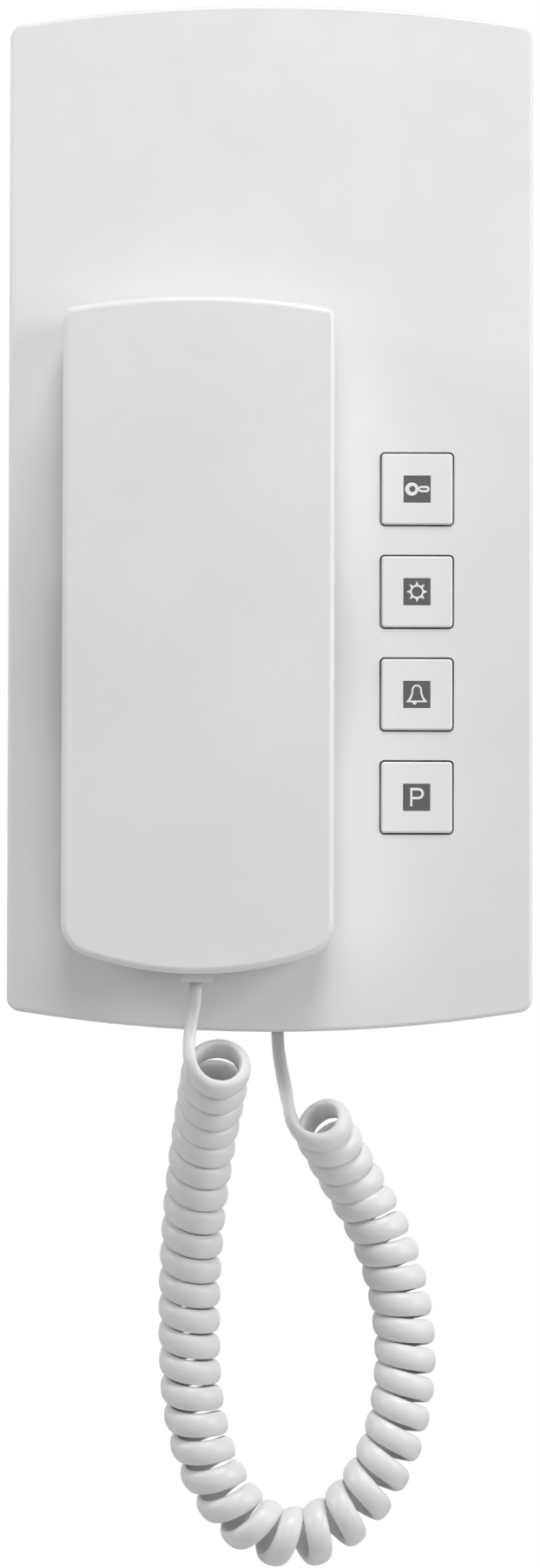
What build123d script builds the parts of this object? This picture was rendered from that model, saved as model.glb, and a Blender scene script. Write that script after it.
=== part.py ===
"""Wall-mounted indoor intercom station: a bowed front cover on a wall plate, four square keys,
a handset lying in two cradle recesses, its hook plunger, and a flat curly cord between them.

Sizes are in millimetres. X runs to the right, Z runs up and the front faces -Y. The wall is the
plane Y = 0 and the origin is the centre of the wall plate's back. A depth is a distance out from
the wall, so a plane at a depth carries sketches in X and Z, and extrusions from it grow outwards.
"""

from build123d import *
import math
import os

os.makedirs("parts", exist_ok=True)

# General clearances
overcut = 1.0
fit_gap = 0.2
seat_gap = 0.3

# Front cover
plate_width = 105.0
plate_height = 206.0
plate_bow_radius = 315.0
plate_corner_radius = 2.8
plate_depth = 26.0
plate_edge_round = 0.8
cover_wall = 2.2
cover_face = 2.4
wall_gap = 0.4
sound_slot_count = 6
sound_slot_width = 1.4
sound_slot_length = 8.0
sound_slot_pitch = 4.0
sound_slot_side_gap = 22.5
sound_slot_depth = 13.0

# Wall plate
tray_gap = 0.5
tray_thickness = 2.2
tray_rim_height = 6.0
tray_rim_wall = 1.5
tray_rim_notch = 3.0
wall_screw_spacing_x = 60.0
wall_screw_spacing_z = 110.0
wall_screw_hole_radius = 2.3
cable_window_width = 50.0
cable_window_height = 16.0
cable_window_corner = 3.0
cable_window_head_gap = 17.0

# Handset outline and depths
handset_x = -14.15
handset_width = 53.5
handset_top = 41.6
handset_bottom = -91.5
handset_top_bow = 147.0
handset_bottom_bow = 69.0
handset_top_corner = 2.0
handset_bottom_corner = 6.5
handset_land_gap = 2.5
handset_thickness = 21.5
handset_crown = 0.8
handset_edge_round = 1.3
handset_back_height = 8.0
handset_back_bevel = 1.0
handset_wall = 2.0
grip_half_length = 18.5

# Ear and mouth caps on the back of the handset, and their recesses in the cover
cap_sink = 6.2
cap_wall = 2.0
cap_edge_bevel = 1.0
ear_cap_drop = 24.1
ear_cap_radius = 20.0
mouth_cap_rise = 19.0
mouth_cap_width = 40.0
mouth_cap_height = 30.0
mouth_cap_corner = 8.0
cradle_gap = 1.2
cradle_wall = 2.0
sound_hole_radius = 1.1
ear_hole_ring_radius = 6.0
ear_hole_count = 5
mouth_hole_ring_radius = 3.0
mouth_hole_count = 3

# Receiver capsule and microphone inside the caps
receiver_side_gap = 3.0
receiver_height = 8.0
receiver_magnet_radius = 8.0
receiver_magnet_height = 3.0
gasket_thickness = 1.0
gasket_width = 3.0
capsule_ring_wall = 1.2
receiver_ring_height = 5.0
microphone_radius = 4.85
microphone_height = 5.0
boot_wall = 1.3
boot_floor = 1.0
microphone_ring_height = 4.0

# Handset weight and screws
weight_width = 18.0
weight_length = 30.0
weight_front_gap = 3.4
handset_screw_margin = 5.0
handset_screw_radius = 1.25
handset_screw_length = 11.0
handset_screw_head_radius = 2.5
handset_screw_head_height = 1.9
handset_screw_seat = 3.0
handset_boss_radius = 3.3
screw_slip = 0.1

# Modular cord plugs and sockets
plug_width = 7.7
plug_thickness = 6.1
plug_length = 11.0
plug_tip_step = 1.2
plug_tip_length = 5.0
socket_slip = 0.15
socket_wall = 1.4
socket_length = 14.0
handset_plug_set_back = 8.3
handset_plug_proud = 1.6
base_line_x = 2.0
base_socket_cradle_gap = 0.5
base_plug_recess = 1.5
socket_support_depth = 2.5

# Square keys
key_side_gap = 23.2
key_first_z = 5.6
key_pitch = 20.57
key_size = 14.15
key_corner = 0.65
key_slot_gap = 0.4
key_proud = 0.6
key_length = 6.0
key_wall = 1.4
key_face = 1.8
key_edge_bevel = 0.3
key_flange_margin = 1.0
key_flange_thickness = 1.0
key_travel = 0.8
key_stem_radius = 2.5
key_collar_gap = 0.35
key_collar_wall = 1.2
key_collar_height = 3.0
tile_size = 5.35
tile_thickness = 0.6
tile_slip = 0.05
key_names = ("door", "light", "bell", "parking")

# Circuit board and what stands on it
board_side_gap = 8.5
board_foot_gap = 23.0
board_head_gap = 31.0
board_thickness = 1.6
board_set_back = 13.6
board_screw_side_margin = 5.0
board_screw_end_margin = 6.0
board_screw_radius = 1.4
board_screw_length = 9.0
board_screw_head_radius = 2.7
board_screw_head_height = 2.0
board_boss_radius = 3.3
switch_size = 6.0
switch_height = 3.4
switch_button_radius = 1.65
switch_button_slip = 0.2
switch_button_inside = 1.5
switch_floor = 0.8
terminal_count = 6
terminal_pitch = 5.0
terminal_end_wall = 0.5
terminal_height = 9.0
terminal_depth_z = 10.0
terminal_side_gap = 24.0
terminal_head_gap = 10.0
terminal_screw_radius = 1.6
terminal_screw_slip = 0.15
terminal_screw_height = 2.0
terminal_screw_sink = 3.0
terminal_entry_size = 3.0
terminal_entry_length = 5.0
terminal_entry_height = 3.0
sounder_x = -17.0
sounder_head_gap = 14.0
sounder_radius = 12.0
sounder_height = 3.2
sounder_port_radius = 1.5
sounder_port_sink = 1.5
sounder_rim = 0.8

# Hook plunger, its spring and its switch
hook_rim_gap = 6.5
hook_radius = 3.0
hook_guide_gap = 0.3
hook_flange_radius = 4.3
hook_flange_thickness = 1.2
hook_tip_bevel = 0.8
hook_tail_radius = 2.0
hook_tail_length = 3.0
hook_travel = 3.5
hook_stop_gap = 1.5
hook_sleeve_gap = 0.5
hook_sleeve_wall = 1.4
hook_sleeve_depth = 9.0
hook_board_gap = 0.6
spring_wire = 0.7
spring_coil_radius = 3.35
spring_turns = 4
spring_sides = 4
hook_switch_width = 5.0
hook_switch_length = 8.0
hook_switch_height = 3.1
hook_switch_arm = 3.0
hook_switch_arm_thickness = 0.7

# Screw that holds the cover to the wall plate, from below
cover_screw_x = -30.0
cover_screw_depth = 8.5
cover_screw_radius = 1.3
cover_screw_length = 9.0
cover_screw_head_radius = 2.6
cover_screw_head_height = 1.3
cover_boss_width = 8.0
cover_boss_depth = 13.0
cover_boss_height = 10.0

# Flat cord: its leads are a flat band, and the curled stretch is a slimmer four-sided tube, so
# that its turns keep clear of each other
cord_thickness = 2.4
cord_width = 4.6
curl_radius = 4.75
curl_wire_radius = 1.65
curl_sides = 4
curl_turns = 38.58
curl_spread_share = 0.12
curl_straight = 3.7
corner_run_share = 0.45
biarcs_per_turn = 2
line_steps = 4096
solver_rounds = 20
gap_skip = 15

# The handset's lead, from its plug down to the curls, as X, Y, Z
handset_lead_route = (
    (-14.15, -41.7, -93.1),
    (-14.15, -41.7, -96.6),
    (-15.05, -42.3, -100.2),
    (-15.05, -42.3, -103.5),
)

# The base's lead, from the plug inside the cover down to the curls
base_lead_route = (
    (2.0, -11.6, -101.5),
    (2.0, -11.6, -106.4),
    (2.9, -12.3, -111.0),
    (4.2, -13.3, -114.8),
    (4.6, -13.6, -117.7),
)

# The line that the curls wind round, from the handset's side down and up to the base's side
curl_axis_route = (
    (-10.4, -42.6, -110.6),
    (-11.8, -35.0, -119.6),
    (-13.6, -29.6, -132.0),
    (-15.2, -26.4, -147.0),
    (-15.9, -24.8, -162.0),
    (-15.4, -24.0, -176.5),
    (-11.9, -23.4, -190.5),
    (-3.3, -22.4, -201.6),
    (7.7, -21.0, -204.8),
    (17.7, -19.2, -198.9),
    (24.7, -17.2, -187.2),
    (27.9, -15.4, -171.5),
    (26.8, -14.2, -156.5),
    (22.6, -13.8, -143.0),
    (16.2, -14.6, -131.4),
    (9.3, -17.5, -122.0),
)

# Derived depths and places
sound_slot_x = plate_width / 2 - sound_slot_side_gap
cable_window_z = plate_height / 2 - cable_window_head_gap
cover_inside_depth = plate_depth - cover_face
handset_land_depth = plate_depth + handset_land_gap
handset_parting_depth = handset_land_depth + handset_back_height
handset_depth = handset_land_depth + handset_thickness
handset_inside_depth = handset_depth - handset_crown - handset_wall
handset_plug_depth = handset_depth - handset_plug_set_back
weight_height = handset_inside_depth - handset_parting_depth - seat_gap - weight_front_gap
cap_floor_depth = plate_depth - cap_sink
cradle_floor_depth = cap_floor_depth - seat_gap
cradle_back_depth = cradle_floor_depth - cradle_wall
ear_cap_z = handset_top - ear_cap_drop
mouth_cap_z = handset_bottom + mouth_cap_rise
receiver_radius = ear_cap_radius - cap_wall - receiver_side_gap
grip_depth = handset_parting_depth - handset_wall
grip_centre_z = (ear_cap_z - ear_cap_radius + mouth_cap_z + mouth_cap_height / 2) / 2
hook_z = ear_cap_z - ear_cap_radius + hook_rim_gap
key_x = plate_width / 2 - key_side_gap
socket_width = plug_thickness + 2 * socket_slip + 2 * socket_wall
socket_half_depth = plug_width / 2 + socket_slip + socket_wall
base_line_depth = cradle_back_depth - base_socket_cradle_gap - socket_half_depth
base_socket_z = -plate_height / 2 + cover_wall + tray_gap
board_width = plate_width - 2 * board_side_gap
board_foot_z = -plate_height / 2 + board_foot_gap
board_head_z = plate_height / 2 - board_head_gap
board_height = board_head_z - board_foot_z
board_z = (board_head_z + board_foot_z) / 2
board_screw_x = board_width / 2 - board_screw_side_margin
board_depth = plate_depth - board_set_back
board_front_depth = board_depth + board_thickness
terminal_x = board_width / 2 - terminal_side_gap
terminal_z = board_head_z - terminal_head_gap
sounder_z = board_head_z - sounder_head_gap
switch_top_depth = board_front_depth + switch_height
key_front_depth = plate_depth + key_proud
key_flange_depth = cover_inside_depth - fit_gap - key_flange_thickness
switch_button_proud = key_travel + fit_gap
switch_button_depth = switch_top_depth + switch_button_proud
hook_flange_front = cradle_back_depth - hook_stop_gap - hook_travel
hook_flange_depth = hook_flange_front - hook_flange_thickness
key_places = [(key_x, key_first_z - key_pitch * row) for row in range(len(key_names))]
board_screw_places = [
    (side * board_screw_x, board_z + end * (board_height / 2 - board_screw_end_margin))
    for side in (-1, 1)
    for end in (-1, 1)
]
handset_screw_places = [
    (handset_x, grip_centre_z + end * (grip_half_length + handset_screw_margin)) for end in (-1, 1)
]
hook_place = (handset_x, hook_z)
plate_shape = (
    0.0,
    plate_width,
    plate_height / 2,
    -plate_height / 2,
    plate_bow_radius,
    plate_bow_radius,
    plate_corner_radius,
    plate_corner_radius,
)
handset_shape = (
    handset_x,
    handset_width,
    handset_top,
    handset_bottom,
    handset_top_bow,
    handset_bottom_bow,
    handset_top_corner,
    handset_bottom_corner,
)


def at_depth(depth):
    """The plane parallel to the wall at this depth, facing outwards."""
    return Plane.XZ.offset(depth)


def sagitta(radius, half_chord):
    """How far an arc of this radius bulges over half its chord."""
    return radius - math.sqrt(radius**2 - half_chord**2)


def panel_face(depth, shape, inset=0.0):
    """A panel outline with straight sides and outward-bowed ends, drawn in by the inset."""
    centre_x, width, top, bottom, top_bow, bottom_bow, top_corner, bottom_corner = shape
    half = width / 2 - inset
    top_apex = top - inset
    bottom_apex = bottom + inset
    top_side = top_apex - sagitta(top_bow - inset, half)
    bottom_side = bottom_apex + sagitta(bottom_bow - inset, half)
    with BuildSketch(at_depth(depth)) as outline:
        with BuildLine():
            Line((centre_x - half, bottom_side), (centre_x - half, top_side))
            ThreePointArc((centre_x - half, top_side), (centre_x, top_apex), (centre_x + half, top_side))
            Line((centre_x + half, top_side), (centre_x + half, bottom_side))
            ThreePointArc(
                (centre_x + half, bottom_side), (centre_x, bottom_apex), (centre_x - half, bottom_side)
            )
        make_face()
        fillet(outline.vertices().sort_by(Axis.Y)[-2:], top_corner)
        fillet(outline.vertices().sort_by(Axis.Y)[:2], bottom_corner)
    return outline.sketch


def grip_face(margin, foot):
    """The side view of the hand space behind the handset's middle, grown by the margin, and carried
    on past the handset's back by the foot."""
    half = grip_half_length + margin
    low = grip_centre_z - half
    high = grip_centre_z + half
    with BuildSketch(Plane.YZ.offset(handset_x - handset_width / 2)) as space:
        with BuildLine():
            ThreePointArc(
                (-handset_land_depth, low),
                (-grip_depth - margin, grip_centre_z),
                (-handset_land_depth, high),
            )
            Line((-handset_land_depth, high), (-handset_land_depth, low))
        make_face()
        if foot > 0:
            with Locations((-handset_land_depth + foot / 2, grip_centre_z)):
                Rectangle(foot, 2 * half)
    return space.sketch


def disc(depth, place, radius):
    """A round face at this depth."""
    with BuildSketch(at_depth(depth)) as face:
        with Locations(place):
            Circle(radius)
    return face.sketch


def block(depth, place, width, height, corner=0.0):
    """A rectangular face at this depth, with rounded corners where a radius is given."""
    with BuildSketch(at_depth(depth)) as face:
        with Locations(place):
            if corner > 0:
                RectangleRounded(width, height, corner)
            else:
                Rectangle(width, height)
    return face.sketch


def save(piece, name):
    """Labels a finished piece and writes it under its name."""
    piece.label = name
    export_step(piece, f"parts/{name}.step")


# Front cover: a shallow shell with two cradle recesses, four key windows and their collars
with BuildPart() as front_cover:
    extrude(panel_face(wall_gap, plate_shape), amount=plate_depth - wall_gap)
    fillet(front_cover.faces().sort_by(Axis.Y)[0].edges(), plate_edge_round)
    extrude(
        panel_face(wall_gap - overcut, plate_shape, cover_wall),
        amount=cover_inside_depth - wall_gap + overcut,
        mode=Mode.SUBTRACT,
    )
    recess_depth = cover_inside_depth - cradle_back_depth
    ear_recess_radius = ear_cap_radius + cradle_gap
    mouth_recess = (
        mouth_cap_width + 2 * cradle_gap,
        mouth_cap_height + 2 * cradle_gap,
        mouth_cap_corner + cradle_gap,
    )
    mouth_place = (handset_x, mouth_cap_z)
    extrude(
        disc(cradle_back_depth, (handset_x, ear_cap_z), ear_recess_radius + cradle_wall),
        amount=recess_depth,
    )
    extrude(
        block(
            cradle_back_depth,
            mouth_place,
            mouth_recess[0] + 2 * cradle_wall,
            mouth_recess[1] + 2 * cradle_wall,
            mouth_recess[2] + cradle_wall,
        ),
        amount=recess_depth,
    )
    extrude(
        disc(cradle_floor_depth, (handset_x, ear_cap_z), ear_recess_radius),
        amount=plate_depth - cradle_floor_depth + overcut,
        mode=Mode.SUBTRACT,
    )
    extrude(
        block(cradle_floor_depth, mouth_place, *mouth_recess),
        amount=plate_depth - cradle_floor_depth + overcut,
        mode=Mode.SUBTRACT,
    )
    extrude(
        disc(cradle_back_depth - overcut, hook_place, hook_radius + hook_guide_gap),
        amount=cradle_wall + 2 * overcut,
        mode=Mode.SUBTRACT,
    )
    key_window = key_size + 2 * key_slot_gap
    collar_inner = key_size + 2 * key_flange_margin + 2 * key_collar_gap
    with BuildSketch(at_depth(cover_inside_depth - key_collar_height)):
        with Locations(*key_places):
            Rectangle(collar_inner + 2 * key_collar_wall, collar_inner + 2 * key_collar_wall)
            Rectangle(collar_inner, collar_inner, mode=Mode.SUBTRACT)
    extrude(amount=key_collar_height)
    with BuildSketch(at_depth(cover_inside_depth - overcut)):
        with Locations(*key_places):
            RectangleRounded(key_window, key_window, key_corner + key_slot_gap)
    extrude(amount=cover_face + 2 * overcut, mode=Mode.SUBTRACT)
    with BuildSketch(Plane.XY.offset(-plate_height / 2 - overcut)):
        with Locations((base_line_x, -base_line_depth)):
            Rectangle(plug_thickness + 2 * seat_gap, plug_width + 2 * seat_gap)
        with Locations((cover_screw_x, -cover_screw_depth)):
            Circle(cover_screw_radius + screw_slip)
    extrude(amount=cover_wall + 3 * overcut, mode=Mode.SUBTRACT)
    cover_foot_z = -plate_height / 2 + sagitta(plate_bow_radius, cover_screw_x)
    with BuildSketch(Plane.XY.offset(cover_foot_z - overcut)):
        with Locations((cover_screw_x, -cover_screw_depth)):
            Circle(cover_screw_head_radius + screw_slip)
    extrude(amount=cover_screw_head_height + overcut, mode=Mode.SUBTRACT)
    plate_bow = sagitta(plate_bow_radius, plate_width / 2)
    with BuildSketch(Plane.XY.offset(-plate_height / 2 - overcut)):
        with Locations((sound_slot_x, -sound_slot_depth)):
            with GridLocations(sound_slot_pitch, sound_slot_length, sound_slot_count, 1):
                Rectangle(sound_slot_width, sound_slot_length)
    extrude(amount=cover_wall + 2 * overcut + plate_bow, mode=Mode.SUBTRACT)
save(front_cover.part, "front_cover")

# Wall plate: a rimmed tray with the screw holes, cable window, board bosses and hook sleeve
tray_inset = cover_wall + tray_gap
hook_sleeve_radius = hook_flange_radius + hook_sleeve_gap
with BuildPart() as wall_plate:
    extrude(panel_face(0.0, plate_shape, tray_inset), amount=tray_thickness + tray_rim_height)
    extrude(
        panel_face(tray_thickness, plate_shape, tray_inset + tray_rim_wall),
        amount=tray_rim_height + overcut,
        mode=Mode.SUBTRACT,
    )
    with BuildSketch(at_depth(-overcut)):
        with GridLocations(wall_screw_spacing_x, wall_screw_spacing_z, 2, 2):
            Circle(wall_screw_hole_radius)
        with Locations((0, cable_window_z)):
            RectangleRounded(cable_window_width, cable_window_height, cable_window_corner)
    extrude(amount=tray_thickness + 2 * overcut, mode=Mode.SUBTRACT)
    with BuildSketch(at_depth(tray_thickness)):
        with Locations((base_line_x, base_socket_z)):
            Rectangle(socket_width + 2 * seat_gap, 2 * tray_rim_notch)
    extrude(amount=tray_rim_height + overcut, mode=Mode.SUBTRACT)
    with BuildSketch(at_depth(tray_thickness)):
        with Locations(*board_screw_places):
            Circle(board_boss_radius)
    extrude(amount=board_depth - tray_thickness)
    with BuildSketch(at_depth(board_depth)):
        with Locations(*board_screw_places):
            Circle(board_screw_radius + screw_slip)
    extrude(amount=-board_screw_length + board_thickness - screw_slip, mode=Mode.SUBTRACT)
    with BuildSketch(at_depth(tray_thickness)):
        with Locations(hook_place):
            Circle(hook_sleeve_radius + hook_sleeve_wall)
            Circle(hook_sleeve_radius, mode=Mode.SUBTRACT)
    extrude(amount=hook_sleeve_depth - tray_thickness)
    cover_boss_foot = cover_foot_z + tray_inset
    with BuildSketch(at_depth(tray_thickness)):
        with Locations((cover_screw_x, cover_boss_foot + cover_boss_height / 2)):
            Rectangle(cover_boss_width, cover_boss_height)
    extrude(amount=cover_boss_depth - tray_thickness)
    with BuildSketch(Plane.XY.offset(cover_boss_foot - overcut)):
        with Locations((cover_screw_x, -cover_screw_depth)):
            Circle(cover_screw_radius + screw_slip)
    extrude(amount=cover_screw_length, mode=Mode.SUBTRACT)
save(wall_plate.part, "wall_plate")

# Cover screw, driven upwards through the bottom wall
with BuildPart() as cover_screw:
    with BuildSketch(Plane.XY.offset(cover_foot_z)):
        with Locations((cover_screw_x, -cover_screw_depth)):
            Circle(cover_screw_head_radius)
    extrude(amount=cover_screw_head_height)
    with BuildSketch(Plane.XY.offset(cover_foot_z + cover_screw_head_height)):
        with Locations((cover_screw_x, -cover_screw_depth)):
            Circle(cover_screw_radius)
    extrude(amount=cover_screw_length - cover_screw_head_height)
save(cover_screw.part, "cover_screw")

# Circuit board, flat on its bosses, with a round opening for the hook plunger
hook_opening_radius = hook_sleeve_radius + hook_sleeve_wall + hook_board_gap
with BuildPart() as circuit_board:
    extrude(block(board_depth, (0, board_z), board_width, board_height), amount=board_thickness)
    with BuildSketch(at_depth(board_depth - overcut)):
        with Locations(*board_screw_places):
            Circle(board_screw_radius + screw_slip)
        with Locations(hook_place):
            Circle(hook_opening_radius)
    extrude(amount=board_thickness + 2 * overcut, mode=Mode.SUBTRACT)
save(circuit_board.part, "circuit_board")

# Board screws, all in one node
with BuildPart() as board_screws:
    with BuildSketch(at_depth(board_front_depth)):
        with Locations(*board_screw_places):
            Circle(board_screw_head_radius)
    extrude(amount=board_screw_head_height)
    with BuildSketch(at_depth(board_front_depth)):
        with Locations(*board_screw_places):
            Circle(board_screw_radius)
    extrude(amount=-board_screw_length)
save(board_screws.part, "board_screws")

# Push switches behind the keys, all in one node
with BuildPart() as push_switches:
    with BuildSketch(at_depth(board_front_depth)):
        with Locations(*key_places):
            Rectangle(switch_size, switch_size)
    extrude(amount=switch_height)
    with BuildSketch(at_depth(board_front_depth + switch_floor)):
        with Locations(*key_places):
            Circle(switch_button_radius + switch_button_slip)
    extrude(amount=switch_height, mode=Mode.SUBTRACT)
save(push_switches.part, "push_switches")


def key_cap(place):
    """A hollow square key with a retaining flange, a stem and a pocket for its tile."""
    key_back_depth = key_front_depth - key_length
    with BuildPart() as cap:
        extrude(block(key_back_depth, place, key_size, key_size, key_corner), amount=key_length)
        chamfer(cap.faces().sort_by(Axis.Y)[0].edges(), key_edge_bevel)
        flange = key_size + 2 * key_flange_margin
        extrude(block(key_flange_depth, place, flange, flange), amount=key_flange_thickness)
        hollow = key_size - 2 * key_wall
        extrude(
            block(key_back_depth - overcut, place, hollow, hollow),
            amount=key_length - key_face + overcut,
            mode=Mode.SUBTRACT,
        )
        extrude(
            disc(switch_button_depth, place, key_stem_radius),
            amount=key_front_depth - key_face - switch_button_depth,
        )
        pocket = tile_size + 2 * tile_slip
        extrude(
            block(key_front_depth - tile_thickness, place, pocket, pocket),
            amount=tile_thickness + overcut,
            mode=Mode.SUBTRACT,
        )
    return cap.part


def key_tile(place):
    """The square pictogram tile, flush in its key."""
    tile_back_depth = key_front_depth - tile_thickness
    with BuildPart() as tile:
        extrude(block(tile_back_depth, place, tile_size, tile_size), amount=tile_thickness)
    return tile.part


def switch_button(place):
    """The round button of one push switch, which moves with its key."""
    with BuildPart() as button:
        extrude(
            disc(switch_top_depth - switch_button_inside, place, switch_button_radius),
            amount=switch_button_inside + switch_button_proud,
        )
    return button.part


for name, place in zip(key_names, key_places):
    save(key_cap(place), f"{name}_key")
    save(key_tile(place), f"{name}_key_tile")
    save(switch_button(place), f"{name}_switch_button")

# Terminal block for the riser wires: screw wells on its front, wire entries on its top
terminal_first_x = terminal_x - (terminal_count - 1) * terminal_pitch / 2
terminal_places = [(terminal_first_x + way * terminal_pitch, terminal_z) for way in range(terminal_count)]
terminal_length = terminal_count * terminal_pitch + 2 * terminal_end_wall
terminal_front_depth = board_front_depth + terminal_height
with BuildPart() as terminal_block:
    extrude(
        block(board_front_depth, (terminal_x, terminal_z), terminal_length, terminal_depth_z),
        amount=terminal_height,
    )
    with BuildSketch(at_depth(terminal_front_depth - terminal_screw_sink)):
        with Locations(*terminal_places):
            Circle(terminal_screw_radius + terminal_screw_slip)
    extrude(amount=terminal_screw_sink + overcut, mode=Mode.SUBTRACT)
    with BuildSketch(Plane.XY.offset(terminal_z + terminal_depth_z / 2 - terminal_entry_length)):
        with Locations(*[(x, -board_front_depth - terminal_entry_height) for x, z in terminal_places]):
            Rectangle(terminal_entry_size, terminal_entry_size)
    extrude(amount=terminal_entry_length + overcut, mode=Mode.SUBTRACT)
save(terminal_block.part, "terminal_block")

# Terminal screws, all in one node
with BuildPart() as terminal_screws:
    with BuildSketch(at_depth(terminal_front_depth - terminal_screw_sink)):
        with Locations(*terminal_places):
            Circle(terminal_screw_radius)
    extrude(amount=terminal_screw_height)
save(terminal_screws.part, "terminal_screws")

# Call sounder: a round capsule with a raised rim and a sound port
sounder_place = (sounder_x, sounder_z)
with BuildPart() as call_sounder:
    extrude(disc(board_front_depth, sounder_place, sounder_radius), amount=sounder_height)
    extrude(
        disc(board_front_depth + sounder_height - sounder_rim, sounder_place, sounder_radius - sounder_rim),
        amount=sounder_rim + overcut,
        mode=Mode.SUBTRACT,
    )
    extrude(
        disc(board_front_depth + sounder_height - sounder_rim, sounder_place, sounder_port_radius),
        amount=-sounder_port_sink,
        mode=Mode.SUBTRACT,
    )
save(call_sounder.part, "call_sounder")

# Hook plunger: pressed in by the ear cap, it stands out of the recess when the handset is lifted
hook_tail_depth = hook_flange_depth - hook_tail_length
hook_stem_length = cradle_floor_depth - hook_flange_front
with BuildPart() as hook_plunger:
    extrude(disc(hook_flange_front, hook_place, hook_radius), amount=hook_stem_length)
    chamfer(hook_plunger.faces().sort_by(Axis.Y)[0].edges(), hook_tip_bevel)
    extrude(disc(hook_flange_depth, hook_place, hook_flange_radius), amount=hook_flange_thickness)
    extrude(disc(hook_tail_depth, hook_place, hook_tail_radius), amount=hook_tail_length)
save(hook_plunger.part, "hook_plunger")

# Hook switch, on the board beside the plunger, with an arm that the flange reaches when it rises
hook_switch_x = handset_x + hook_opening_radius + fit_gap + hook_switch_width / 2
with BuildPart() as hook_switch:
    extrude(
        block(board_front_depth, (hook_switch_x, hook_z), hook_switch_width, hook_switch_length),
        amount=hook_switch_height,
    )
    arm_end_x = hook_switch_x - hook_switch_width / 2 - hook_switch_arm
    with BuildSketch(at_depth(board_front_depth + hook_switch_height - hook_switch_arm_thickness)):
        with Locations(((arm_end_x + hook_switch_x) / 2, hook_z)):
            Rectangle(hook_switch_x - arm_end_x, hook_tail_radius)
    extrude(amount=hook_switch_arm_thickness)
save(hook_switch.part, "hook_switch")


def plug_solid(place, mouth_z, length_up):
    """A modular plug with its long side along Y, its cord end at mouth_z and a stepped tip above."""
    with BuildPart() as plug:
        with BuildSketch(Plane.XY.offset(mouth_z)):
            with Locations(place):
                Rectangle(plug_thickness, plug_width)
        extrude(amount=length_up)
        with BuildSketch(Plane.XY.offset(mouth_z + length_up - plug_tip_length)):
            with Locations((place[0] + plug_thickness / 2 - plug_tip_step / 2, place[1])):
                Rectangle(plug_tip_step, plug_width)
        extrude(amount=plug_tip_length, mode=Mode.SUBTRACT)
    return plug.part


def socket_solid(place, foot_z, back_y, front_y):
    """A socket block between two depths, open downwards for its plug."""
    with BuildPart() as socket:
        with BuildSketch(Plane.XY.offset(foot_z)):
            with Locations((place[0], (back_y + front_y) / 2)):
                Rectangle(socket_width, abs(front_y - back_y))
        extrude(amount=socket_length)
        with BuildSketch(Plane.XY.offset(foot_z - overcut)):
            with Locations(place):
                Rectangle(plug_thickness + 2 * socket_slip, plug_width + 2 * socket_slip)
        extrude(amount=plug_length + socket_slip + overcut, mode=Mode.SUBTRACT)
    return socket.part


# Base socket and plug: the plug goes up through the bottom wall and sits recessed
base_line_place = (base_line_x, -base_line_depth)
base_plug_z = -plate_height / 2 + base_plug_recess
base_socket_front = base_line_depth + socket_half_depth
save(
    socket_solid(base_line_place, base_socket_z, -socket_support_depth, -base_socket_front),
    "base_cord_socket",
)
save(plug_solid(base_line_place, base_plug_z, plug_length), "base_cord_plug")

def plug_window_face():
    """The opening for the plug in the handset's lower end, seen from below."""
    with BuildSketch(Plane.XY.offset(handset_bottom - overcut)) as window:
        with Locations((handset_x, -handset_plug_depth)):
            Rectangle(plug_thickness + 2 * seat_gap, plug_width + 2 * seat_gap)
    return window.sketch


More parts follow.
